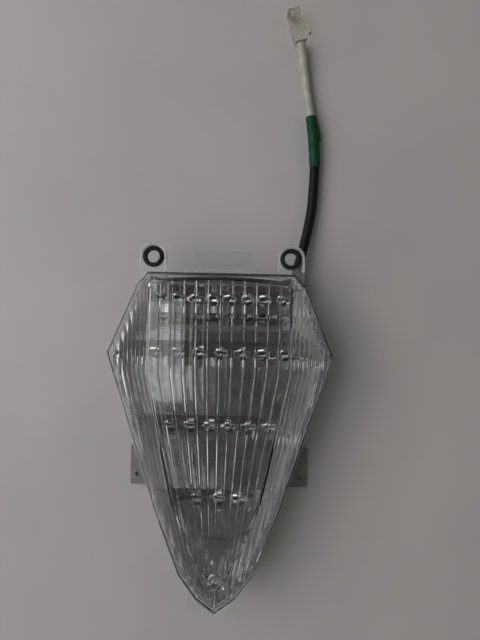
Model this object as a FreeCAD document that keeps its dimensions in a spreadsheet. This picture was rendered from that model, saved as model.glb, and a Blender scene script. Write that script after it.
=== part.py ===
import FreeCAD
import Part
import Sketcher

import math
import os

# LED tail light for a motorcycle, lying on its back.  Millimetres.
# +Z points out through the lens, +Y towards the mounting ears, X across.
# The origin is on the resting face, at the middle of the lamp's length and width.

DIMS = {
    # rim: outline of the lens and housing flange, right half, from the ears to the tip
    "half_length": 129.0,
    "rim_corner_x": 48.3,
    "rim_corner_y": 109.8,
    "rim_shoulder_x": 55.6,
    "rim_shoulder_y": 102.0,
    "rim_wide_x": 75.0,
    "rim_wide_y": 56.0,
    "rim_hip_x": 41.5,
    "rim_hip_y": -47.0,
    "rim_lower_x": 24.5,
    "rim_lower_y": -90.0,
    "rim_nose_x": 12.8,
    "rim_nose_y": -106.0,
    "rim_tip_y": -115.5,
    # crest: where the lens side facets would meet the level of the crown's top
    "crest_corner_x": 41.3,
    "crest_corner_y": 100.5,
    "crest_shoulder_x": 42.2,
    "crest_shoulder_y": 96.8,
    "crest_wide_x": 40.2,
    "crest_wide_y": 43.3,
    "crest_hip_x": 24.2,
    "crest_hip_y": -32.0,
    "crest_lower_x": 13.0,
    "crest_lower_y": -50.0,
    "crest_nose_x": 5.0,
    "crest_nose_y": -60.0,
    "crest_tip_y": -64.5,
    # levels above the resting face
    "back_z": 2.5,
    "flange_z": 31.0,
    "flange_thick": 3.0,
    "seal_thick": 1.0,
    "lens_rim_thick": 2.0,
    "crown_z": 66.0,
    "crest_z": 66.5,
    # walls and gaps
    "back_inset": 11.0,
    "lip": 2.5,
    "wall": 2.2,
    "lens_wall": 2.4,
    "reflector_wall": 1.8,
    "fit_gap": 0.5,
    # the lens crown, a large barrel with its highest line at crown_y
    "crown_y": 37.0,
    "crown_radius": 523.0,
    "crown_cross_radius": 300.0,
    # stepped ledge between the ears
    "ledge_half": 18.0,
    "ledge_step": 6.0,
    "ledge_reach": 2.6,
    # mounting ears
    "ear_x": 45.5,
    "ear_width": 18.2,
    "ear_rim": 1.6,
    "ear_rim_height": 2.0,
    "grommet_groove_r": 5.2,
    "grommet_r": 7.0,
    "grommet_hole_r": 4.15,
    "grommet_lip": 1.5,
    # reflector steps: each row of lamps stands on a steep riser
    "ridge_z": 31.0,
    "valley_z": 17.0,
    "riser_tilt": 50.0,
    "valley_run": 6.0,
    "step_skin": 3.0,
    "row_1_y": 101.0,
    "row_2_y": 64.5,
    "row_3_y": 15.1,
    "row_4_y": -33.5,
    "shelf_y": -67.5,
    "shelf_z": 26.0,
    "pocket_y": -97.5,
    "pocket_z": 21.0,
    "pocket_half": 4.0,
    "pocket_slant": 1.0,
    # lamps and their boards
    "lamp_r": 2.5,
    "lamp_flange_r": 2.9,
    "lamp_flange": 1.0,
    "lamp_length": 8.6,
    "lamp_hole_r": 3.1,
    "lamp_z": 21.2,
    "board_thick": 1.6,
    "board_height": 7.0,
    "board_gap": 2.2,
    "board_margin": 3.0,
    "row_1_pitch": 11.8,
    "row_2_pitch": 14.6,
    "row_3_pitch": 13.4,
    "row_4_pitch": 13.9,
    # driver board inside the housing
    "driver_x": 30.0,
    "driver_y": 44.0,
    "driver_half_y": 11.0,
    "driver_z": 8.0,
    "driver_screw_x": 26.0,
    "driver_screw_y": 8.0,
    "driver_screw_head_r": 2.5,
    "driver_screw_length": 5.0,
    "stand_r": 3.0,
    "tip_board_half": 2.6,
    "tip_board_length": 7.5,
    "flat_lead": 0.6,
    "flat_lead_width": 5.0,
    # clear strap along the back, and the tabs beside it
    "strap_half": 20.0,
    "strap_thick": 2.5,
    "strap_top_y": 127.0,
    "tab_inner_x": 22.0,
    "tab_outer_x": 62.5,
    "tab_low_y": -38.5,
    "tab_high_y": -11.5,
    "tab_hole_x": 57.5,
    "tab_hole_y": -31.5,
    "tab_hole_r": 1.6,
    "tab_screw_x": 28.0,
    "tab_screw_low_y": -32.0,
    "tab_screw_high_y": -18.0,
    "strap_screw_low_y": -72.0,
    "strap_screw_high_y": 84.0,
    # screws from the back
    "screw_r": 1.5,
    "screw_head_r": 2.8,
    "screw_head": 1.4,
    "screw_length": 6.0,
    "screw_recess": 0.4,
    "post_r": 3.1,
    "post_height": 4.5,
    # vent in the back, with its cap
    "breather_x": -30.0,
    "breather_y": 66.0,
    "breather_r": 2.0,
    "breather_cap_r": 5.0,
    "breather_low": 0.8,
    # cable entry
    "gland_x": 52.4,
    "gland_face_y": 102.0,
    "gland_inner_y": 72.0,
    "gland_stem": 10.0,
    "gland_stem_r": 3.5,
    "gland_flange_r": 6.2,
    "gland_flange": 2.5,
    "gland_tip_r": 4.1,
    "gland_tail": 11.5,
    "boss_half": 4.65,
    "wire_d": 1.5,
    # lead, splice and plug
    "black_d": 6.8,
    "tape_d": 8.2,
    "white_d": 6.0,
    "plug_front_x": 45.0,
    "plug_front_y": 297.0,
    "plug_heading": 16.0,
    "plug_thick": 8.2,
    "plug_tall": 11.7,
    "plug_length": 23.0,
    "latch_thick": 1.1,
    "latch_tall": 6.3,
    "latch_length": 17.0,
    "latch_rise": 11.0,
    "latch_setback": 1.2,
    "contact_pitch": 1.02,
    "contact_length": 5.0,
    "contact_thick": 0.4,
    "contact_tall": 0.85,
    "slot_length": 6.0,
    "slot_width": 0.5,
    "slot_depth": 1.2,
    "slot_setback": 1.0,
}

LAMPS_IN_ROW = {1: 8, 2: 7, 3: 6, 4: 3}
CONTACTS = 8
RIM_POINTS = ["corner", "shoulder", "wide", "hip", "lower", "nose"]

# Routes of the lead along its middle line, from the gland to the plug.
BLACK_ROUTE = [
    (52.4, 116.0, 7.15),
    (56.1, 130.0, 6.2),
    (59.6, 146.0, 4.6),
    (62.4, 164.0, 3.7),
    (63.0, 188.5, 4.15),
]
TAPE_ROUTE = [
    (63.0, 188.5, 4.15),
    (62.5, 206.0, 4.15),
    (59.6, 223.8, 4.15),
]
WHITE_ROUTE = [
    (59.6, 223.8, 4.15),
    (56.9, 239.0, 3.2),
    (54.4, 256.0, 3.6),
    (51.4, 274.9, 5.85),
]
# The same lead's two wires inside the housing, from the gland to the driver board.
SUPPLY_ROUTE = [
    (52.4, 91.6, 7.15),
    (52.3, 70.0, 7.4),
    (44.0, 60.5, 9.6),
    (31.0, 59.0, 11.2),
    (18.0, 57.5, 11.0),
    (10.0, 52.6, 10.5),
]
# Flat leads from the driver board to the lamp boards: low x, start y, end y, end z.
BOARD_LEADS = {
    1: (-22.0, 50.0, 94.2, 14.6),
    2: (-8.0, 51.0, 57.4, 14.4),
    3: (8.0, 36.0, 8.2, 14.4),
    4: (-12.0, 36.0, -40.4, 14.4),
    5: (-2.5, 36.0, -93.0, 16.0),
}
# Parts on the driver board: x and y from its middle, width, depth and height.
DRIVER_PARTS = {
    "resistors": [(-18 + 7 * i, -5, 4.0, 2.2, 1.2) for i in range(4)],
    "diodes": [(-16 + 9 * i, 5, 4.6, 2.8, 1.8) for i in range(3)],
    "driver_chip": [(14, 4, 6.0, 5.0, 1.6)],
}

doc = FreeCAD.newDocument("TailLight")
sheet = doc.addObject("Spreadsheet::Sheet", "dims")
for line, (alias, size) in enumerate(DIMS.items(), start=1):
    sheet.set(f"A{line}", alias)
    sheet.set(f"B{line}", str(size))
    sheet.setAlias(f"B{line}", alias)
doc.recompute()

subparts = []


def number(expression):
    """Value of an expression in the sheet's cells."""
    result = sheet.evalExpression(expression)
    return float(getattr(result, "Value", result))


def keep(item, label):
    """Give a finished sub-part its name and list it for writing."""
    item.Label = label
    subparts.append(item)
    return item


def new_body(name):
    body = doc.addObject("PartDesign::Body", name)
    body.AllowCompound = True
    return body


def sketch_on(body, name, role="XY_Plane", offset=None):
    """Empty sketch on one of the body's own origin planes."""
    sketch = body.newObject("Sketcher::SketchObject", name)
    plane = [item for item in body.Origin.OriginFeatures if item.Role == role][0]
    sketch.AttachmentSupport = [(plane, "")]
    sketch.MapMode = "FlatFace"
    if offset is not None:
        sketch.setExpression(".AttachmentOffset.Base.z", offset)
    return sketch


def pin_point(sketch, index, x, y):
    """Hold a line's start point at two expressions."""
    for kind, expression, axis in (("DistanceX", x, -2), ("DistanceY", y, -1)):
        if expression == "0":
            sketch.addConstraint(Sketcher.Constraint("PointOnObject", index, 1, axis))
            continue
        constraint = sketch.addConstraint(
            Sketcher.Constraint(kind, index, 1, number(expression)))
        sketch.setExpression(f"Constraints[{constraint}]", expression)


def add_loop(sketch, points):
    """Closed loop of straight lines through points given as expressions."""
    start = sketch.GeometryCount
    places = [FreeCAD.Vector(number(x), number(y), 0) for x, y in points]
    count = len(points)
    for i in range(count):
        sketch.addGeometry(Part.LineSegment(places[i], places[(i + 1) % count]))
    for i in range(count):
        following = start + (i + 1) % count
        sketch.addConstraint(Sketcher.Constraint("Coincident", start + i, 2, following, 1))
    for i, (x, y) in enumerate(points):
        pin_point(sketch, start + i, x, y)


def add_circle(sketch, x, y, radius):
    place = FreeCAD.Vector(number(x), number(y), 0)
    index = sketch.addGeometry(
        Part.Circle(place, FreeCAD.Vector(0, 0, 1), number(radius)))
    constraint = sketch.addConstraint(
        Sketcher.Constraint("Radius", index, number(radius)))
    sketch.setExpression(f"Constraints[{constraint}]", radius)
    for kind, expression, axis in (("DistanceX", x, -2), ("DistanceY", y, -1)):
        if expression == "0":
            sketch.addConstraint(Sketcher.Constraint("PointOnObject", index, 3, axis))
            continue
        constraint = sketch.addConstraint(
            Sketcher.Constraint(kind, index, 3, number(expression)))
        sketch.setExpression(f"Constraints[{constraint}]", expression)


def rectangle(x_low, x_high, y_low, y_high):
    return [(x_low, y_low), (x_high, y_low), (x_high, y_high), (x_low, y_high)]


def pad(body, sketch, length, name):
    feature = body.newObject("PartDesign::Pad", name)
    feature.Profile = sketch
    feature.setExpression("Length", length)
    body.Tip = feature
    return feature


def pocket(body, sketch, length, name, upwards=True):
    """Cut along the sketch's normal when upwards, otherwise against it."""
    feature = body.newObject("PartDesign::Pocket", name)
    feature.Profile = sketch
    feature.Reversed = upwards
    feature.setExpression("Length", length)
    body.Tip = feature
    return feature


def loft(body, low, high, name, subtract=False):
    kind = "PartDesign::SubtractiveLoft" if subtract else "PartDesign::AdditiveLoft"
    feature = body.newObject(kind, name)
    feature.Profile = low
    feature.Sections = [high]
    feature.Ruled = True
    body.Tip = feature
    return feature


def revolve(body, name, points, axis_x="0"):
    """Solid of revolution from (radius, height) pairs about an upright line."""
    sketch = sketch_on(body, name + "Profile", "XZ_Plane")
    if axis_x == "0":
        add_loop(sketch, points)
    else:
        add_loop(sketch, [(f"{axis_x} + {r}", height) for r, height in points])
    low = FreeCAD.Vector(number(axis_x), number(points[0][1]), 0)
    axis = sketch.addGeometry(Part.LineSegment(low, low + FreeCAD.Vector(0, 10, 0)), True)
    pin_point(sketch, axis, axis_x, points[0][1])
    sketch.addConstraint(Sketcher.Constraint("Vertical", axis))
    sketch.addConstraint(Sketcher.Constraint("DistanceY", axis, 1, axis, 2, 10.0))
    feature = body.newObject("PartDesign::Revolution", name)
    feature.Profile = sketch
    feature.ReferenceAxis = (sketch, ["Axis0"])
    feature.Angle = 360
    body.Tip = feature
    return feature


def repeat_along_x(body, feature, count, pitch):
    """Row of equal copies of a feature, starting from the feature itself."""
    pattern = body.newObject("PartDesign::LinearPattern", feature.Name + "Row")
    pattern.Originals = [feature]
    x_axis = [item for item in body.Origin.OriginFeatures if item.Role == "X_Axis"][0]
    pattern.Direction = (x_axis, [""])
    pattern.setExpression("Length", f"{pitch} * {count - 1}")
    pattern.Occurrences = count
    body.Tip = pattern
    return pattern


def outline(base, inset="0"):
    """The lamp's outline, clockwise from the right corner, moved inwards by inset."""
    right = [(f"dims.{base}_{point}_x", f"dims.{base}_{point}_y") for point in RIM_POINTS]
    left = [(f"-{x}", y) for x, y in reversed(right)]
    points = right + [("0", f"dims.{base}_tip_y")] + left
    if inset == "0":
        return points
    places = [FreeCAD.Vector(number(x), number(y), 0) for x, y in points]
    moved = []
    for i, (x, y) in enumerate(points):
        before = (places[i] - places[i - 1]).normalize()
        after = (places[(i + 1) % len(points)] - places[i]).normalize()
        normals = [FreeCAD.Vector(run.y, -run.x, 0) for run in (before, after)]
        mitre = (normals[0] + normals[1]) / (1 + normals[0].dot(normals[1]))
        new_x = "0" if x == "0" else f"{x} + ({inset}) * ({mitre.x:.4f})"
        moved.append((new_x, f"{y} + ({inset}) * ({mitre.y:.4f})"))
    return moved


def outline_sketch(body, name, level, base="rim", inset="0", hole_inset=None):
    sketch = sketch_on(body, name, offset=level)
    add_loop(sketch, outline(base, inset))
    if hole_inset is not None:
        add_loop(sketch, outline(base, hole_inset))
    return sketch


def outline_loft(body, name, low, high, subtract=False):
    """Loft between two outlines, each given as (level, base, inset)."""
    ends = []
    for where, (level, base, inset) in (("Low", low), ("High", high)):
        ends.append(outline_sketch(body, name + where, level, base, inset))
    return loft(body, ends[0], ends[1], name, subtract)


LOOSE = "0.05"
FLANGE_TOP = "dims.flange_z + dims.flange_thick"
LENS_LOW = "dims.flange_z + dims.flange_thick + dims.seal_thick"
LENS_RIM_TOP = "dims.flange_z + dims.flange_thick + dims.seal_thick + dims.lens_rim_thick"
FLOOR_TOP = "dims.back_z + dims.wall"
EAR_Y = "dims.half_length - dims.ear_width / 2"
GLAND_Z = "dims.back_z + dims.boss_half"
BOARD_SCREW_LOW = "dims.back_z + dims.wall + 1"
RISER_RUN = "(dims.ridge_z - dims.valley_z) / tan(dims.riser_tilt * 1 deg)"
LAMP_RUN = "(dims.ridge_z - dims.lamp_z) / tan(dims.riser_tilt * 1 deg)"
SCREW_PLACES = {
    "tab": [(f"{sign}dims.tab_screw_x", f"dims.tab_screw_{end}_y")
            for sign in ("", "-") for end in ("high", "low")],
    "strap": [("0", "dims.strap_screw_high_y"), ("0", "dims.strap_screw_low_y")],
    "board": [(f"{sign}dims.driver_screw_x", f"dims.driver_y {side} dims.driver_screw_y")
              for sign in ("", "-") for side in ("-", "+")],
}


def add_ears(body):
    """Two rounded ears on the flange, each with a raised edge and a grommet hole."""
    for side, sign in (("Right", ""), ("Left", "-")):
        x = f"{sign}dims.ear_x"
        for step, radius, low, depth in (
                ("Plate", "dims.ear_width / 2", "dims.flange_z", "dims.flange_thick"),
                ("Edge", "dims.ear_width / 2", FLANGE_TOP, "dims.ear_rim_height")):
            strip = sketch_on(body, f"Ear{step}Strip{side}", offset=low)
            base_y = "dims.rim_corner_y - 6" if step == "Plate" else "dims.rim_corner_y + 1"
            add_loop(strip, rectangle(f"{x} - {radius}", f"{x} + {radius}", base_y, EAR_Y))
            pad(body, strip, depth, f"Ear{step}StripPad{side}")
            disc = sketch_on(body, f"Ear{step}Disc{side}", offset=low)
            add_circle(disc, x, EAR_Y, radius)
            pad(body, disc, depth, f"Ear{step}DiscPad{side}")
        inner = "(dims.ear_width / 2 - dims.ear_rim)"
        inside = sketch_on(body, f"EarInside{side}", offset=FLANGE_TOP)
        add_loop(inside, rectangle(f"{x} - {inner}", f"{x} + {inner}",
                                   "dims.rim_corner_y - 1", EAR_Y))
        pocket(body, inside, "dims.ear_rim_height", f"EarInsideCut{side}")
        round_end = sketch_on(body, f"EarRound{side}", offset=FLANGE_TOP)
        add_circle(round_end, x, EAR_Y, inner)
        pocket(body, round_end, "dims.ear_rim_height", f"EarRoundCut{side}")
        hole = sketch_on(body, f"EarHole{side}", offset="dims.flange_z - 1")
        add_circle(hole, x, EAR_Y, "dims.grommet_groove_r")
        pocket(body, hole, "dims.flange_thick + 5", f"EarHoleCut{side}")


def add_catch_ledge(body):
    """Stepped ledge on the flange's upper edge, midway between the ears."""
    for step, reach in ((1, "dims.ledge_reach"), (2, "dims.ledge_reach / 2")):
        half = f"dims.ledge_half + {step - 1} * dims.ledge_step"
        sketch = sketch_on(body, f"Ledge{step}", offset="dims.flange_z")
        add_loop(sketch, rectangle(f"-({half})", half, "dims.rim_corner_y - 2",
                                   f"dims.rim_corner_y + {reach}"))
        pad(body, sketch, "dims.flange_thick", f"LedgePad{step}")


def add_cable_boss(body):
    """Block on the upper wall that the cable gland sits in."""
    block = sketch_on(body, "BossBlock", offset="dims.back_z")
    add_loop(block, rectangle("dims.gland_x - dims.boss_half", "dims.gland_x + dims.boss_half",
                              "dims.gland_inner_y", "dims.gland_face_y"))
    pad(body, block, "2 * dims.boss_half", "BossPad")
    bore = sketch_on(body, "BossBore", "XZ_Plane", "-(dims.gland_face_y + 1)")
    add_circle(bore, "dims.gland_x", GLAND_Z, "dims.gland_stem_r")
    pocket(body, bore, "dims.gland_face_y - dims.gland_inner_y + 2", "BossBoreCut")


def add_screw_holes(body, places, level, depth, name):
    sketch = sketch_on(body, name + "Holes", offset=level)
    for x, y in places:
        add_circle(sketch, x, y, "dims.screw_r")
    return pocket(body, sketch, depth, name + "HolesCut")


def make_housing():
    body = new_body("Housing")
    outline_loft(body, "Shell",
                 ("dims.back_z", "rim", "dims.back_inset"),
                 ("dims.flange_z", "rim", "dims.lip"))
    flange = outline_sketch(body, "Flange", "dims.flange_z")
    pad(body, flange, "dims.flange_thick", "FlangePad")
    add_catch_ledge(body)
    add_ears(body)
    outline_loft(body, "Cavity",
                 (FLOOR_TOP, "rim", "dims.back_inset + dims.wall"),
                 (FLANGE_TOP, "rim", "dims.lip + dims.wall"), subtract=True)
    add_cable_boss(body)
    posts = sketch_on(body, "ScrewPosts", offset=FLOOR_TOP)
    for x, y in SCREW_PLACES["tab"] + SCREW_PLACES["strap"]:
        add_circle(posts, x, y, "dims.post_r")
    pad(body, posts, "dims.post_height", "ScrewPostsPad")
    every_screw = SCREW_PLACES["tab"] + SCREW_PLACES["strap"]
    add_screw_holes(body, every_screw, "dims.back_z - 1", "dims.screw_length + 1", "Back")
    stands = sketch_on(body, "BoardStands", offset=FLOOR_TOP)
    for x, y in SCREW_PLACES["board"]:
        add_circle(stands, x, y, "dims.stand_r")
    pad(body, stands, f"dims.driver_z - ({FLOOR_TOP})", "BoardStandsPad")
    add_screw_holes(body, SCREW_PLACES["board"], BOARD_SCREW_LOW, "4", "Stand")
    breather = sketch_on(body, "BreatherHole", offset="dims.back_z - 1")
    add_circle(breather, "dims.breather_x", "dims.breather_y", "dims.breather_r")
    pocket(body, breather, "dims.wall + 2", "BreatherHoleCut")
    return keep(body, "housing")


def make_crown_cutter(body, drop):
    """Groove that leaves a lightly barrelled top surface."""
    reach = 90.0
    sketch = sketch_on(body, "Crown", "XZ_Plane", "-dims.crown_y")
    top = number(f"dims.crown_z - {drop}")
    cross = number("dims.crown_cross_radius")
    edge = top - (cross - math.sqrt(cross ** 2 - reach ** 2))
    corners = [FreeCAD.Vector(-reach, edge, 0), FreeCAD.Vector(0, top, 0),
               FreeCAD.Vector(reach, edge, 0), FreeCAD.Vector(reach, top + 60, 0),
               FreeCAD.Vector(-reach, top + 60, 0)]
    arc = sketch.addGeometry(Part.Arc(corners[0], corners[1], corners[2]))
    right = sketch.addGeometry(Part.LineSegment(corners[2], corners[3]))
    upper = sketch.addGeometry(Part.LineSegment(corners[3], corners[4]))
    left = sketch.addGeometry(Part.LineSegment(corners[4], corners[0]))
    sketch.addConstraint(Sketcher.Constraint("Coincident", right, 2, upper, 1))
    sketch.addConstraint(Sketcher.Constraint("Coincident", upper, 2, left, 1))
    sketch.addConstraint(Sketcher.Constraint("Coincident", right, 1, arc, 1))
    sketch.addConstraint(Sketcher.Constraint("Coincident", left, 2, arc, 2))
    sketch.addConstraint(Sketcher.Constraint("PointOnObject", arc, 3, -2))
    sketch.addConstraint(Sketcher.Constraint("Vertical", right))
    sketch.addConstraint(Sketcher.Constraint("Vertical", left))
    sketch.addConstraint(Sketcher.Constraint("Horizontal", upper))
    bound = [
        (Sketcher.Constraint("Radius", arc, cross), "dims.crown_cross_radius"),
        (Sketcher.Constraint("DistanceY", arc, 3, top - cross),
         f"dims.crown_z - {drop} - dims.crown_cross_radius"),
    ]
    for constraint, expression in bound:
        index = sketch.addConstraint(constraint)
        sketch.setExpression(f"Constraints[{index}]", expression)
    sketch.addConstraint(Sketcher.Constraint("DistanceX", right, 1, reach))
    sketch.addConstraint(Sketcher.Constraint("DistanceX", left, 1, -reach))
    sketch.addConstraint(Sketcher.Constraint("DistanceY", upper, 1, top + 60))
    low = FreeCAD.Vector(-reach, top - number("dims.crown_radius"), 0)
    axis = sketch.addGeometry(
        Part.LineSegment(low, FreeCAD.Vector(reach, low.y, 0)), True)
    sketch.addConstraint(Sketcher.Constraint("Horizontal", axis))
    index = sketch.addConstraint(Sketcher.Constraint("DistanceY", axis, 1, low.y))
    sketch.setExpression(f"Constraints[{index}]", f"dims.crown_z - {drop} - dims.crown_radius")
    groove = body.newObject("PartDesign::Groove", "CrownCut")
    groove.Profile = sketch
    groove.ReferenceAxis = (sketch, ["Axis0"])
    groove.Angle = 60
    groove.Midplane = True
    body.Tip = groove
    return groove


def make_lens():
    """Clear hollow lens: a rim, sloping side facets and a crowned front face."""
    outer = new_body("LensOuter")
    outline_loft(outer, "Facets",
                 (LENS_RIM_TOP, "rim", "1.6"),
                 ("dims.crest_z", "crest", "0"))
    rim = outline_sketch(outer, "Rim", LENS_LOW)
    pad(outer, rim, "dims.lens_rim_thick", "RimPad")
    make_crown_cutter(outer, "0")
    inner = new_body("LensInner")
    outline_loft(inner, "Hollow",
                 (f"{LENS_LOW} - 1", "rim", "1.6 + 1.3 * dims.lens_wall"),
                 ("dims.crest_z", "crest", "dims.lens_wall"))
    make_crown_cutter(inner, "dims.lens_wall")
    lens = doc.addObject("Part::Cut", "Lens")
    lens.Base = outer
    lens.Tool = inner
    return keep(lens, "lens")


def make_ring(name, level, thick, inset, hole_inset, label):
    body = new_body(name)
    sketch = outline_sketch(body, name + "Ring", level, "rim", inset, hole_inset)
    pad(body, sketch, thick, name + "Pad")
    return keep(body, label)


def step_points():
    """Section of the stepped mirror, as (y, z), from the ears to the tip."""
    points = [("dims.rim_corner_y", "dims.ridge_z")]
    for row in LAMPS_IN_ROW:
        points.append((f"dims.row_{row}_y", "dims.ridge_z"))
        foot = f"dims.row_{row}_y - {RISER_RUN}"
        points.append((foot, "dims.valley_z"))
        points.append((f"{foot} - dims.valley_run", "dims.valley_z"))
    points.append(("dims.shelf_y", "dims.shelf_z"))
    points.append(("dims.pocket_y + dims.pocket_half", "dims.shelf_z"))
    floor_half = "(dims.pocket_half - dims.pocket_slant)"
    points.append((f"dims.pocket_y + {floor_half}", "dims.pocket_z"))
    points.append((f"dims.pocket_y - {floor_half}", "dims.pocket_z"))
    points.append(("dims.pocket_y - dims.pocket_half", "dims.shelf_z"))
    points.append(("dims.rim_tip_y", "dims.shelf_z"))
    return points


def make_row_tool(name, row, radius, low, high):
    """Row of cylinders square to a riser, used for the lamps' holes."""
    body = new_body(name)
    count = LAMPS_IN_ROW[row]
    first = f"-dims.row_{row}_pitch * {(count - 1) / 2}"
    feature = revolve(body, name + "Peg",
                      [("0", low), (radius, low), (radius, high), ("0", high)], first)
    repeat_along_x(body, feature, count, f"dims.row_{row}_pitch")
    place_on_riser(body, row)
    return body


def place_on_riser(body, row):
    """Stand a body's own Z axis square to a row's riser, where its lamps come through."""
    body.Placement = FreeCAD.Placement(
        FreeCAD.Vector(0, 0, 0), FreeCAD.Rotation(FreeCAD.Vector(1, 0, 0), 1.0))
    body.setExpression("Placement.Base.y", f"dims.row_{row}_y - {LAMP_RUN}")
    body.setExpression("Placement.Base.z", "dims.lamp_z")
    body.setExpression("Placement.Rotation.Angle", "dims.riser_tilt * 1 deg")


def make_reflector():
    """One-piece bright mirror: a tapered frame and a stepped floor with lamp holes."""
    rim_inset = "dims.lip + dims.wall + dims.fit_gap"
    low_inset = "dims.back_inset + dims.wall + dims.fit_gap - 1.5"
    low_z = "dims.valley_z - dims.step_skin - 2"
    frame_body = new_body("MirrorFrame")
    outline_loft(frame_body, "Frame",
                 (low_z, "rim", low_inset),
                 (FLANGE_TOP, "rim", rim_inset))
    outline_loft(frame_body, "FrameHollow",
                 (low_z, "rim", f"{low_inset} + dims.reflector_wall"),
                 (FLANGE_TOP, "rim", f"{rim_inset} + dims.reflector_wall"), subtract=True)
    block = new_body("MirrorBlock")
    outline_loft(block, "Block",
                 (low_z, "rim", low_inset),
                 (FLANGE_TOP, "rim", rim_inset))
    steps = new_body("MirrorSteps")
    section = sketch_on(steps, "StepSection", "YZ_Plane")
    top = step_points()
    under = [(y, f"{z} - dims.step_skin") for y, z in reversed(top)]
    add_loop(section, top + under)
    floor = pad(steps, section, "2 * dims.rim_wide_x", "StepPad")
    floor.Midplane = True
    trimmed = doc.addObject("Part::Common", "MirrorFloor")
    trimmed.Base = steps
    trimmed.Tool = block
    shell = doc.addObject("Part::Fuse", "MirrorShell")
    shell.Base = frame_body
    shell.Tool = trimmed
    holes = doc.addObject("Part::MultiFuse", "LampHoles")
    pegs = [make_row_tool(f"HoleRow{row}", row, "dims.lamp_hole_r", "-4", "4")
            for row in LAMPS_IN_ROW]
    tip_hole = doc.addObject("Part::Cylinder", "TipHole")
    tip_hole.setExpression("Radius", "dims.lamp_hole_r")
    tip_hole.Height = 12
    tip_hole.setExpression("Placement.Base.y", "dims.pocket_y")
    tip_hole.setExpression("Placement.Base.z", "dims.pocket_z - 8")
    holes.Shapes = pegs + [tip_hole]
    mirror = doc.addObject("Part::Cut", "Mirror")
    mirror.Base = shell
    mirror.Tool = holes
    return keep(mirror, "reflector")


def lamp_profile():
    """Half section of a round-nosed lamp, its base on the board's face."""
    base = "-dims.board_gap"
    flange = f"{base} + dims.lamp_flange"
    top = f"{base} + dims.lamp_length"
    return [
        ("0", base), ("dims.lamp_flange_r", base), ("dims.lamp_flange_r", flange),
        ("dims.lamp_r", flange), ("dims.lamp_r", f"{top} - dims.lamp_r"),
        ("0.87 * dims.lamp_r", f"{top} - dims.lamp_r / 2"),
        ("0.5 * dims.lamp_r", f"{top} - 0.13 * dims.lamp_r"),
        ("0", top),
    ]


def make_lamp_row(row):
    body = new_body(f"LampRow{row}")
    count = LAMPS_IN_ROW[row]
    first = f"-dims.row_{row}_pitch * {(count - 1) / 2}"
    lamp = revolve(body, f"Lamp{row}", lamp_profile(), first)
    repeat_along_x(body, lamp, count, f"dims.row_{row}_pitch")
    place_on_riser(body, row)
    return keep(body, f"led_row_{row}")


def make_lamp_board(row):
    """Narrow board behind a riser, parallel to it."""
    body = new_body(f"LampBoard{row}")
    half = f"dims.row_{row}_pitch * {(LAMPS_IN_ROW[row] - 1) / 2} + dims.board_margin"
    sketch = sketch_on(body, f"LampBoardFace{row}", offset="-dims.board_gap - dims.board_thick")
    add_loop(sketch, rectangle(f"-({half})", half,
                               "-dims.board_height / 2", "dims.board_height / 2"))
    pad(body, sketch, "dims.board_thick", f"LampBoardPad{row}")
    place_on_riser(body, row)
    return keep(body, f"led_board_{row}")


def make_tip_lamp():
    """Single lamp in the pocket near the tip, pointing straight out, and its board."""
    lamp = new_body("TipLamp")
    revolve(lamp, "TipLampTurn", lamp_profile())
    keep(lamp, "led_row_5")
    board = new_body("TipBoard")
    sketch = sketch_on(board, "TipBoardFace", offset="-dims.board_gap - dims.board_thick")
    add_loop(sketch, rectangle("-dims.tip_board_half", "dims.tip_board_half",
                               "0", "dims.tip_board_length"))
    pad(board, sketch, "dims.board_thick", "TipBoardPad")
    keep(board, "led_board_5")
    below_floor = "dims.pocket_z - dims.step_skin - 0.3"
    for item in (lamp, board):
        item.setExpression("Placement.Base.y", "dims.pocket_y")
        item.setExpression("Placement.Base.z", f"{below_floor} + dims.board_gap")


def make_plate(name, label, x_low, x_high, y_low, y_high, z_low, thick, holes=()):
    """Flat rectangular piece with round holes given as (x, y, radius)."""
    body = new_body(name)
    sketch = sketch_on(body, name + "Face", offset=z_low)
    add_loop(sketch, rectangle(x_low, x_high, y_low, y_high))
    for x, y, radius in holes:
        add_circle(sketch, x, y, radius)
    pad(body, sketch, thick, name + "Pad")
    return keep(body, label)


def make_strap_and_tabs():
    strap_holes = [(x, y, "dims.screw_r + 0.2") for x, y in SCREW_PLACES["strap"]]
    strap = make_plate("Strap", "rear_strap", "-dims.strap_half", "dims.strap_half",
                       "-dims.half_length", "dims.strap_top_y", "0", "dims.strap_thick",
                       strap_holes)
    countersink(strap, SCREW_PLACES["strap"])
    for side, sign, label in (("Right", "", "side_tab_right"), ("Left", "-", "side_tab_left")):
        places = [(x, y) for x, y in SCREW_PLACES["tab"] if x == f"{sign}dims.tab_screw_x"]
        holes = [(x, y, "dims.screw_r + 0.2") for x, y in places]
        holes.append((f"{sign}dims.tab_hole_x", "dims.tab_hole_y", "dims.tab_hole_r"))
        tab = make_plate(f"Tab{side}", label,
                         f"{sign}dims.tab_inner_x", f"{sign}dims.tab_outer_x",
                         "dims.tab_low_y", "dims.tab_high_y", "0", "dims.strap_thick", holes)
        countersink(tab, places)


def countersink(body, places):
    """Flat recesses for the screw heads, in the underside of a plate."""
    sketch = sketch_on(body, body.Name + "Recess", offset="0")
    for x, y in places:
        add_circle(sketch, x, y, "dims.screw_head_r + 0.3")
    pocket(body, sketch, "dims.screw_recess + dims.screw_head", body.Name + "RecessCut")


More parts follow.
